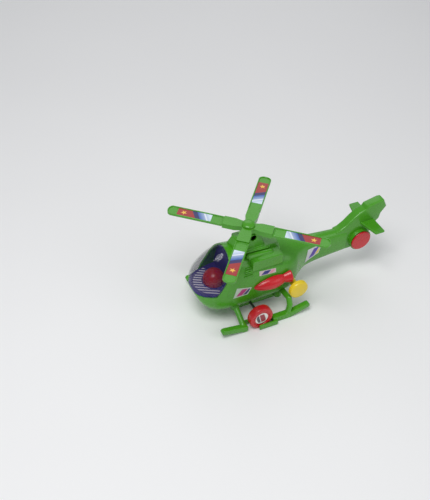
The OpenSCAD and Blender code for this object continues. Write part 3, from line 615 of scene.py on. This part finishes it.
@dataclass
class BodyForm:
    """The egg-shaped body and boom as sections along the rotor's own axis distances, in millimetres."""

    axis_x: float
    segments: int = 112
    spacing: float = 1.6
    low_power: float = 4.5
    sections: tuple[Section, ...] = (
        (64.0, 4.0, 46.0, 49.0, 52.0, 2.0), (62.59, 9.49, 39.5, 47.0, 60.0, 2.0),
        (59.71, 14.51, 32.5, 45.5, 67.0, 2.0), (55.04, 19.49, 25.5, 44.0, 72.0, 2.0),
        (47.36, 23.0, 19.0, 43.0, 79.5, 2.0), (37.76, 25.99, 15.6, 42.0, 85.5, 2.0),
        (28.0, 27.8, 15.5, 42.0, 88.5, 2.0), (18.0, 28.2, 15.6, 42.0, 86.0, 2.15),
        (5.0, 28.3, 15.8, 42.0, 82.0, 2.3), (-20.0, 28.05, 16.5, 42.0, 79.0, 2.4),
        (-42.0, 27.5, 18.5, 42.0, 73.5, 2.4), (-52.0, 24.5, 22.0, 44.0, 71.0, 2.4),
        (-62.0, 17.5, 27.0, 46.0, 69.0, 2.4), (-75.0, 11.5, 31.0, 47.0, 67.2, 2.4),
        (-96.0, 9.0, 32.5, 48.0, 65.5, 2.4), (-128.0, 7.5, 34.0, 48.0, 63.0, 2.4))

    def at(self, x: float) -> Section:
        """The section at a distance from the rotor's axis, on a smooth curve through the given ones.

        Args:
            x: The distance forward of the axis.

        Returns:
            The section.
        """
        s = self.sections
        i = next((k for k in range(len(s) - 1) if s[k + 1][0] <= x <= s[k][0]), len(s) - 2)
        a, b = s[i], s[i + 1]
        before, after = s[max(i - 1, 0)], s[min(i + 2, len(s) - 1)]
        h = b[0] - a[0]
        t = (x - a[0]) / h
        out = [x]
        for k in range(1, 6):
            chord = (b[k] - a[k]) / h
            first = (a[k] - before[k]) / (a[0] - before[0]) if before is not a else chord
            last = (after[k] - b[k]) / (after[0] - b[0]) if after is not b else chord
            # a harmonic mean keeps the curve from overshooting between sections
            m0 = 2 * first * chord / (first + chord) if first * chord > 0 else 0.0
            m1 = 2 * last * chord / (last + chord) if last * chord > 0 else 0.0
            out.append((2 * t**3 - 3 * t**2 + 1) * a[k] + (t**3 - 2 * t**2 + t) * h * m0
                       + (3 * t**2 - 2 * t**3) * b[k] + (t**3 - t**2) * h * m1)
        return tuple(out)

    def half_width(self, x: float, z: float) -> float:
        """How far the surface is from the middle plane at a place in the side view."""
        _, w, low, waist, high, round_ = self.at(x)
        power = round_ if z > waist else self.low_power
        reach = (high - waist) if z > waist else (waist - low)
        return w * max(0.0, 1.0 - min(1.0, abs(z - waist) / reach) ** power) ** (1 / power)

    def stations(self) -> list[float]:
        """The places of the loft's rings, closer together at the nose."""
        nose = [64.0, 63.8, 63.5, 63.1, 62.6, 61.9, 61.0, 59.9, 58.6, 57.0]
        length = nose[-1] - self.sections[-1][0]
        count = int(length / self.spacing)
        return nose + [nose[-1] - length * (k + 1) / count for k in range(count)]

    def loft(self) -> bmesh.types.BMesh:
        """The closed skin of the whole form.

        Returns:
            The skin.
        """
        mesh = bmesh.new()
        rings: list[list[bmesh.types.BMEdge]] = []
        for x in self.stations():
            _, w, low, waist, high, round_ = self.at(x)
            verts = bmesh.ops.create_circle(mesh, segments=self.segments, radius=1.0)["verts"]
            for v in verts:
                c, s = v.co.x, v.co.y
                power = 2 / (self.low_power if s < 0 else round_)
                reach = (waist - low) if s < 0 else (high - waist)
                v.co = Vector((x + self.axis_x, math.copysign(abs(c) ** power, c) * w,
                               waist + math.copysign(abs(s) ** power, s) * reach)) * MM
            rings.append(list({e for v in verts for e in v.link_edges}))
        for a, b in zip(rings, rings[1:]):
            bmesh.ops.bridge_loops(mesh, edges=a + b)
        for ring in (rings[0], rings[-1]):
            bmesh.ops.contextual_create(mesh, geom=ring)
        bmesh.ops.recalc_face_normals(mesh, faces=mesh.faces)
        return mesh


@dataclass
class Body:
    """The two body halves, split at the seam, with the cockpit's edge cut into them."""

    shop: Workshop
    form: BodyForm
    wall: float = 1.8
    seam: float = 0.03
    sill: float = 41.0
    edge: float = 0.35
    rim: tuple[tuple[float, float], ...] = (
        (44.0, 41.0), (34.5, 58.0), (30.0, 72.0), (27.5, 86.5), (27.0, 96.0))

    def rim_x(self, z: float) -> float:
        """Where the cockpit's rear edge is at a height."""
        for (x0, z0), (x1, z1) in zip(self.rim, self.rim[1:]):
            if z <= z1:
                return x0 + (x1 - x0) * (z - z0) / (z1 - z0)
        return self.rim[-1][0]

    def in_cockpit(self, x: float, z: float) -> bool:
        """Whether a place in the side view belongs to the canopy."""
        return z > self.sill and x > self.rim_x(z)

    def trimmed(self, canopy: bool) -> bmesh.types.BMesh:
        """The skin on one side of the cockpit's edge.

        Args:
            canopy: Whether the canopy's part is kept, or else the body's.

        Returns:
            The skin, open along the edge.
        """
        mesh = self.form.loft()
        ax = self.form.axis_x
        cuts = [((0.0, self.sill), (1.0, self.sill))] + list(zip(self.rim, self.rim[1:]))
        for (x0, z0), (x1, z1) in cuts:
            normal = Vector((z1 - z0, 0.0, x0 - x1))
            bmesh.ops.bisect_plane(mesh, geom=mesh.verts[:] + mesh.edges[:] + mesh.faces[:], dist=1e-7,
                                   plane_co=Vector((x0 + ax, 0.0, z0)) * MM, plane_no=normal)
        gone = []
        for face in mesh.faces:
            c = face.calc_center_median() / MM
            if self.in_cockpit(c.x - ax, c.z) != canopy:
                gone.append(face)
        bmesh.ops.delete(mesh, geom=gone, context="FACES")
        return mesh

    def half(self, side: Side) -> None:
        """Makes one body half with its wall.

        Args:
            side: Which half.
        """
        mesh = self.trimmed(False)
        bmesh.ops.bisect_plane(mesh, geom=mesh.verts[:] + mesh.edges[:] + mesh.faces[:], dist=1e-7,
                               plane_co=(0.0, side.value * self.seam * MM, 0.0),
                               plane_no=(0.0, side.value, 0.0), clear_inner=True)
        name = f"body_half_{side.name.lower()}"
        piece = self.shop.keep(name, mesh, "fuselage", "green_gloss",
                               stands_for=[f"body_shell_{side.name.lower()}"])
        wall = piece.modifiers.new("wall", "SOLIDIFY")
        wall.thickness = self.wall * MM
        wall.offset = -1.0
        wall.use_rim = True
        edge = piece.modifiers.new("edge", "BEVEL")
        edge.width = self.edge * MM
        edge.segments = 2
        edge.limit_method = "ANGLE"
        edge.angle_limit = math.radians(50.0)

    def build(self) -> None:
        """Makes both halves."""
        for side in Side:
            self.half(side)


@dataclass
class Cockpit:
    """The smoked canopy over the printed tray and the dome."""

    shop: Workshop
    body: Body
    wall: float = 1.3

    def build(self) -> None:
        """Makes the canopy and dresses what it covers."""
        mesh = self.body.trimmed(True)
        canopy = self.shop.keep("canopy_bubble", mesh, "fuselage", "smoked_clear", stands_for=["canopy"])
        wall = canopy.modifiers.new("wall", "SOLIDIFY")
        wall.thickness = self.wall * MM
        wall.offset = -1.0
        self.shop.softened("cockpit_tray", 0.3)
        self.shop.softened("pilot_dome", 0.4)


@dataclass
class Engines:
    """The pods on the shoulders, each with a ribbed intake and a stub pipe."""

    shop: Workshop
    form: BodyForm
    ribs: int = 5
    rib_pitch: float = 2.1
    rib_thick: float = 1.0
    rib_deep: float = 4.5
    rib_proud: float = 0.9
    rib_edge: float = 0.35
    lowest_rib: float = 61.5
    rib_ends: tuple[float, float] = (3.5, 14.5)
    rib_steps: tuple[float, float] = (0.4, -0.7)
    pipe_r: float = 3.1
    pipe_long: float = 17.0
    pipe_wall: float = 0.8
    pipe_deep: float = 1.2
    pipe_at: tuple[float, float, float] = (-1.0, 17.0, 79.5)
    pipe_tilt: float = 86.0

    def bar(self, mesh: bmesh.types.BMesh, low: Sequence[float], high: Sequence[float], edge: float) -> None:
        """Adds one bar with rounded edges.

        Args:
            mesh: Where it is added.
            low: Its lowest corner in millimetres from the rotor's axis.
            high: Its highest corner.
            edge: The width of its rounding.
        """
        made = bmesh.ops.create_cube(mesh, size=1.0)["verts"]
        size = Vector(high) - Vector(low)
        centre = (Vector(high) + Vector(low)) / 2 + Vector((self.form.axis_x, 0.0, 0.0))
        stretch = Matrix.Diagonal((*(size * MM), 1.0))
        bmesh.ops.transform(mesh, matrix=Matrix.Translation(centre * MM) @ stretch, verts=made)
        edges = list({e for v in made for e in v.link_edges})
        bmesh.ops.bevel(mesh, geom=edges, offset=edge * MM, offset_type="OFFSET", segments=2, profile=0.5,
                        affect="EDGES", material=-1, clamp_overlap=True)

    def intake(self, side: Side) -> None:
        """Makes the ribs that stand on the shoulder ahead of a pod.

        Args:
            side: Which pod.
        """
        mesh = bmesh.new()
        rear, front = self.rib_ends
        for i in range(self.ribs):
            z = self.lowest_rib + i * self.rib_pitch
            out = max(self.form.half_width(x, z) for x in (4.0, 9.0, 14.0)) + self.rib_proud
            self.bar(mesh, (rear + i * self.rib_steps[0], out - self.rib_deep, z),
                     (front + i * self.rib_steps[1], out, z + self.rib_thick), self.rib_edge)
        if side is Side.STARBOARD:
            bmesh.ops.scale(mesh, vec=(1.0, -1.0, 1.0), verts=mesh.verts)
            bmesh.ops.recalc_face_normals(mesh, faces=mesh.faces)
        self.shop.keep(f"intake_ribs_{side.name.lower()}", mesh, "fuselage", "green_gloss")

    def stub(self, side: Side) -> None:
        """Makes the short pipe above a pod's front end.

        Args:
            side: Which pod.
        """
        mesh = bmesh.new()
        bmesh.ops.create_cone(mesh, cap_ends=True, segments=40, radius1=self.pipe_r * MM,
                              radius2=self.pipe_r * MM, depth=self.pipe_long * MM)
        front = [f for f in mesh.faces if f.normal.z > 0.9]
        bmesh.ops.inset_region(mesh, faces=front, thickness=self.pipe_wall * MM, depth=-self.pipe_deep * MM)
        bmesh.ops.bevel(mesh, geom=[e for e in mesh.edges if e.calc_face_angle(0.0) > 0.7], offset=0.4 * MM,
                        offset_type="OFFSET", segments=3, profile=0.5, affect="EDGES", material=-1)
        x, y, z = self.pipe_at
        place = Matrix.Translation(Vector((self.form.axis_x + x, side.value * y, z)) * MM)
        turn = Matrix.Rotation(math.radians(self.pipe_tilt), 4, "Y")
        bmesh.ops.transform(mesh, matrix=place @ turn, verts=mesh.verts)
        self.shop.keep(f"stub_pipe_{side.name.lower()}", mesh, "fuselage", "green_gloss")

    def build(self) -> None:
        """Makes and dresses both engines."""
        for side in Side:
            self.shop.melted(f"engine_pod_{side.name.lower()}", 0.4, 2)
            self.intake(side)
            self.stub(side)


@dataclass
class Tail:
    """The fin, its boss, the stabilizer and the red disc."""

    shop: Workshop
    tail_len: float = 177.5
    half_thick: float = 5.5
    disc_r: float = 12.5
    disc_z: float = 46.0
    disc_d: float = 31.0
    boss_rim: float = 1.1
    boss_deep: float = 9.0
    outline: tuple[tuple[float, float], ...] = (
        (63.5, 34.0), (63.5, 64.0), (57.5, 65.5), (50.5, 70.5), (43.5, 77.5), (35.5, 83.5), (28.5, 86.5),
        (26.5, 90.0), (9.0, 94.0), (5.0, 93.5), (0.0, 83.5), (6.0, 75.0), (7.0, 68.0), (12.0, 63.0),
        (17.5, 50.0), (18.5, 40.0), (24.0, 34.5), (31.0, 32.5), (38.0, 34.0))

    def aft(self, d: float) -> float:
        """A place in millimetres ahead of the fin's rear tip."""
        return d - self.tail_len + self.shop.axis_x

    def fin(self) -> None:
        """Makes the fin as one bevelled slab, rounder on its broad faces."""
        mesh = bmesh.new()
        verts = [bmesh.ops.create_vert(mesh, co=Vector((self.aft(d), -self.half_thick, z)) * MM)["vert"][0]
                 for d, z in self.outline]
        face = bmesh.ops.contextual_create(mesh, geom=verts)["faces"]
        moved = bmesh.ops.extrude_face_region(mesh, geom=face)["geom"]
        bmesh.ops.translate(mesh, verts=[g for g in moved if isinstance(g, bmesh.types.BMVert)],
                            vec=(0.0, 2 * self.half_thick * MM, 0.0))
        bmesh.ops.recalc_face_normals(mesh, faces=mesh.faces)
        rims = [e for e in mesh.edges if e.calc_face_angle(0.0) > 1.2]
        bmesh.ops.bevel(mesh, geom=rims, offset=1.7 * MM, offset_type="OFFSET", segments=4, profile=0.5,
                        affect="EDGES", material=-1, clamp_overlap=True)
        self.shop.keep("tail_fin", mesh, "fuselage", "green_gloss", crease=25.0)

    def boss(self) -> None:
        """Makes the round boss that carries the disc."""
        mesh = bmesh.new()
        bmesh.ops.create_cone(mesh, cap_ends=True, segments=72, radius1=(self.disc_r + self.boss_rim) * MM,
                              radius2=(self.disc_r + self.boss_rim) * MM, depth=self.boss_deep * MM)
        top = [f for f in mesh.faces if f.normal.z > 0.9]
        bmesh.ops.inset_region(mesh, faces=top, thickness=1.3 * MM, depth=-0.5 * MM)
        bmesh.ops.bevel(mesh, geom=[e for e in mesh.edges if e.calc_face_angle(0.0) > 0.7], offset=0.35 * MM,
                        offset_type="OFFSET", segments=2, profile=0.5, affect="EDGES", material=-1)
        place = Matrix.Translation(Vector((self.aft(self.disc_d), self.half_thick, self.disc_z)) * MM)
        turn = Matrix.Rotation(math.radians(-90.0), 4, "X")
        bmesh.ops.transform(mesh, matrix=place @ turn, verts=mesh.verts)
        self.shop.keep("tail_boss", mesh, "fuselage", "green_gloss")

    def build(self) -> None:
        """Makes and dresses the tail."""
        self.fin()
        self.boss()
        self.shop.softened("stabilizer", 1.1, 3)
        self.shop.softened("tail_disc", 0.25)


@dataclass
class Stickers:
    """Generic labels that lie on the body, the blades and the wheels."""

    shop: Workshop
    form: BodyForm
    lift: float = 0.16
    foil: float = 0.12
    band_from: float = 40.0
    band_long: float = 37.0
    band_wide: float = 11.2
    star_at: float = 70.0
    star_r: float = 3.5
    star_waist: float = 0.42
    star_thick: float = 0.1
    hub_r: float = 7.6
    hub_sunk: float = 0.78

    def patch(self, name: str, body: str, slot: str, material: bpy.types.Material,
              place: Callable[[float, float], Vector], steps: tuple[int, int]) -> None:
        """Makes one label that follows a surface.

        Args:
            name: The piece's name.
            body: The CAD body it moves with.
            slot: The record's material slot it is nearest to.
            material: Its print.
            place: Gives a point in millimetres from 0 to 1 along and across.
            steps: How many faces it has each way.
        """
        mesh = bmesh.new()
        bmesh.ops.create_grid(mesh, x_segments=steps[0], y_segments=steps[1], size=0.5)
        layer = mesh.loops.layers.uv.new("patch")
        for face in mesh.faces:
            for loop in face.loops:
                loop[layer].uv = (loop.vert.co.x + 0.5, loop.vert.co.y + 0.5)
        for vert in mesh.verts:
            vert.co = place(vert.co.x + 0.5, vert.co.y + 0.5) * MM
        bmesh.ops.recalc_face_normals(mesh, faces=mesh.faces)
        piece = self.shop.keep(name, mesh, body, slot, material)
        wall = piece.modifiers.new("foil", "SOLIDIFY")
        wall.thickness = self.foil * MM
        wall.offset = 0.0

    def on_body(self, name: str, corners: Sequence[tuple[float, float]], material: bpy.types.Material,
                side: Side) -> None:
        """Makes a label on the body's side.

        Args:
            name: The piece's name.
            corners: Its low front, low rear, high rear and high front corners as x and z.
            material: Its print.
            side: Which side it is on.
        """
        a, b, c, d = (Vector(p) for p in corners)

        def place(u: float, v: float) -> Vector:
            """A point of the label on the body's surface."""
            p = a.lerp(b, u).lerp(d.lerp(c, u), v)
            y = self.form.half_width(p.x, p.y) + self.lift
            return Vector((p.x + self.form.axis_x, side.value * y, p.y))

        self.patch(f"{name}_{side.name.lower()}", "fuselage", "green_gloss", material, place, (24, 12))

    def on_blades(self, rotor_z: float, rest: float) -> None:
        """Makes the band and the star on each blade.

        Args:
            rotor_z: The height of the blades' upper face.
            rest: The first blade's angle from the nose, in degrees.
        """
        band = BladeBand("blade_band").make()
        gold = Moulding("star_gold", (0.95, 0.55, 0.06), 0.3, 0.3).make()
        for k in range(4):
            turn = Matrix.Rotation(math.radians(rest + 90.0 * k), 4, "Z")
            shift = Matrix.Translation((self.form.axis_x, 0.0, rotor_z))

            def place(u: float, v: float, spin: Matrix = shift @ turn) -> Vector:
                """A point of the band on its blade."""
                along = self.band_from + self.band_long * u
                return spin @ Vector((along, (v - 0.5) * self.band_wide, self.lift))

            self.patch(f"blade_band_{k + 1}", "rotor", "green_gloss", band, place, (24, 6))
            mesh = bmesh.new()
            points = bmesh.ops.create_circle(mesh, segments=10, radius=self.star_r, cap_ends=True)["verts"]
            for i, vert in enumerate(sorted(points, key=lambda p: math.atan2(p.co.y, p.co.x))):
                vert.co *= 1.0 if i % 2 else self.star_waist
            top = bmesh.ops.extrude_face_region(mesh, geom=mesh.faces[:])["geom"]
            bmesh.ops.translate(mesh, verts=[g for g in top if isinstance(g, bmesh.types.BMVert)],
                                vec=(0, 0, self.star_thick))
            bmesh.ops.recalc_face_normals(mesh, faces=mesh.faces)
            seat = shift @ turn @ Matrix.Translation((self.star_at, 0.0, self.lift + self.foil / 2))
            bmesh.ops.transform(mesh, matrix=Matrix.Scale(MM, 4) @ seat, verts=mesh.verts)
            self.shop.keep(f"blade_star_{k + 1}", mesh, "rotor", "green_gloss", gold)

    def on_wheels(self) -> None:
        """Makes the round label in each wheel's hub."""
        label = Sticker("hub_label", (0.86, 0.84, 0.8), (0.35, 0.04, 0.06), (0.1, 0.08, 0.1), 0.45).make()
        for side in Side:
            low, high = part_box(f"wheel_{side.name.lower()}")
            centre = (low + high) / 2 / MM
            face = (high.y if side is Side.PORT else -low.y) / MM - self.hub_sunk

            def place(u: float, v: float, s: Side = side, c: Vector = centre, y: float = face) -> Vector:
                """A point of the label, with the square's edge drawn out to a circle."""
                p, q = 2 * u - 1, 2 * v - 1
                return Vector((c.x + self.hub_r * p * math.sqrt(1 - q * q / 2), s.value * y,
                               c.z + self.hub_r * q * math.sqrt(1 - p * p / 2)))

            self.patch(f"hub_label_{side.name.lower()}", "wheels", "red_gloss", label, place, (16, 16))

    def build(self, rotor_z: float, rest: float) -> None:
        """Makes every label.

        Args:
            rotor_z: The height of the blades' upper face.
            rest: The first blade's angle from the nose, in degrees.
        """
        nose = Sticker("nose_label", (0.5, 0.62, 0.5), (0.45, 0.05, 0.2), (0.05, 0.05, 0.16), 0.52).make()
        side_bar = Sticker("flank_label", (0.6, 0.5, 0.52), (0.03, 0.03, 0.2), (0.7, 0.3, 0.38), 0.46).make()
        tail = Sticker("boom_label", (0.66, 0.66, 0.7), (0.1, 0.05, 0.4), (0.78, 0.6, 0.06), 0.6).make()
        labels = (
            ("nose_label", ((26.5, 36.5), (9.0, 37.0), (5.0, 46.0), (23.0, 50.0)), nose),
            ("flank_label", ((-4.0, 57.5), (-24.5, 56.0), (-24.5, 61.0), (-4.0, 63.0)), side_bar),
            ("boom_label", ((-71.0, 40.0), (-90.0, 46.0), (-93.0, 57.0), (-74.0, 57.0)), tail))
        for side in Side:
            for name, corners, material in labels:
                self.on_body(name, corners, material, side)
        self.on_blades(rotor_z, rest)
        self.on_wheels()


# --------------------------------------------------------------------------
# Floor, lights and camera
# --------------------------------------------------------------------------


@dataclass
class Studio:
    """A pale floor, soft lights and the camera."""

    axis_x: float
    target: Vector = field(default_factory=lambda: Vector((13.86, -41.96, 43.53)))
    azimuth: float = 150.38
    elevation: float = 42.36
    roll: float = 4.61
    distance: float = 1014.9
    focal_px: float = 907.45
    height_px: float = 500.0
    sensor: float = 36.0
    sky: tuple[float, float, float, float] = (0.94, 0.96, 1.0, 1.0)
    sky_power: float = 0.34
    lamps: tuple[tuple[str, tuple[float, float, float], float, float], ...] = (
        ("key", (0.45, 0.25, 1.1), 0.55, 7.6), ("fill", (-0.6, 0.9, 0.7), 0.8, 2.2),
        ("rim", (-0.4, -0.9, 0.8), 0.8, 1.8))

    def camera(self) -> None:
        """Places the camera and makes it the scene's own."""
        a, e, r = (math.radians(v) for v in (self.azimuth, self.elevation, self.roll))
        right = Vector((math.cos(a), math.sin(a), 0.0))
        back = Vector((right.y, -right.x, 0.0)) * math.cos(e) + Vector((0.0, 0.0, math.sin(e)))
        up = back.cross(right)
        rolled = right * math.cos(r) + up * math.sin(r)
        top = up * math.cos(r) - right * math.sin(r)
        eye = (self.target + Vector((self.axis_x, 0.0, 0.0)) + back * self.distance) * MM
        lens = bpy.data.cameras.new("view")
        lens.sensor_width = self.sensor
        lens.lens = self.focal_px / self.height_px * self.sensor
        lens.clip_start, lens.clip_end = 0.01, 20.0
        camera = bpy.data.objects.new("view", lens)
        bpy.context.scene.collection.objects.link(camera)
        turn = Matrix((rolled, top, back)).transposed().to_4x4()
        camera.matrix_world = Matrix.Translation(eye) @ turn
        bpy.context.scene.camera = camera

    def light(self, name: str, place: Sequence[float], size: float, power: float) -> None:
        """Adds one soft light that faces the toy.

        Args:
            name: The light's name.
            place: Where it is, in metres.
            size: The side of its square, in metres.
            power: Its strength in watts.
        """
        data = bpy.data.lights.new(name, "AREA")
        data.size = size
        data.energy = power
        lamp = bpy.data.objects.new(name, data)
        lamp.location = place
        aim = Vector((self.axis_x * MM, 0.0, 0.05)) - Vector(place)
        lamp.rotation_euler = aim.to_track_quat("-Z", "Y").to_euler()
        bpy.context.scene.collection.objects.link(lamp)

    def build(self) -> None:
        """Sets up floor, world, lights and camera."""
        mesh = bmesh.new()
        bmesh.ops.create_grid(mesh, x_segments=1, y_segments=1, size=6.0)
        data = bpy.data.meshes.new("floor")
        mesh.to_mesh(data)
        mesh.free()
        floor = bpy.data.objects.new("floor", data)
        bpy.context.scene.collection.objects.link(floor)
        ground = Paint("pale_floor")
        tone = ground.noise(3.0)
        ground.shade(Base_Color=ground.mix(tone, (0.88, 0.88, 0.88), (0.92, 0.92, 0.92)), Roughness=0.7)
        data.materials.append(ground.material)
        world = bpy.data.worlds.new("studio")
        world.use_nodes = True
        background = world.node_tree.nodes["Background"]
        background.inputs[0].default_value = self.sky
        background.inputs[1].default_value = self.sky_power
        bpy.context.scene.world = world
        for lamp in self.lamps:
            self.light(*lamp)
        bpy.context.scene.view_settings.view_transform = "Standard"
        self.camera()


def dress_rest(shop: Workshop, made: Iterable[str]) -> None:
    """Gives every CAD node that still shows its finish.

    Args:
        shop: The workshop.
        made: The nodes that new pieces stand for.
    """
    for node in sorted(set(shop.slots) - set(made)):
        shop.dress(node)
        log.info("%s: own shape, %s", node, shop.slots[node])


def main(frame: dict[str, Any]) -> None:
    """Builds every sub-assembly in order.
    """
    shop = Workshop(frame)
    form = BodyForm(shop.axis_x)
    body = Body(shop, form)
    body.build()
    Cockpit(shop, body).build()
    Tail(shop).build()
    Engines(shop, form).build()
    for side in ("port", "starboard"):
        shop.melted(f"skid_{side}", 0.55, 5)
        shop.softened(f"missile_{side}", 0.2)
        shop.softened(f"wheel_{side}", 0.25)
    shop.melted("mast_cowl", 0.5, 5)
    for node in ("rotor_hub", "rotor_blade_1", "rotor_blade_2", "rotor_blade_3", "rotor_blade_4"):
        shop.softened(node, 0.35, 3)
    for node in ("rotor_cap", "winding_knob", "motor_cover", "mast_bush"):
        shop.softened(node, 0.25)
    rotor_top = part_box("rotor_blade_1")[0].z / MM + BLADE_THICK
    Stickers(shop, form).build(rotor_top, REST_DEG)
    made = {n for o in bpy.data.objects for n in o.get("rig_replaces", [])}
    dress_rest(shop, made)
    Studio(shop.axis_x).build()


if __name__ == "__main__":
    logging.basicConfig(level=logging.INFO, format="%(name)s: %(message)s")
    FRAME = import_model()
    main(FRAME)
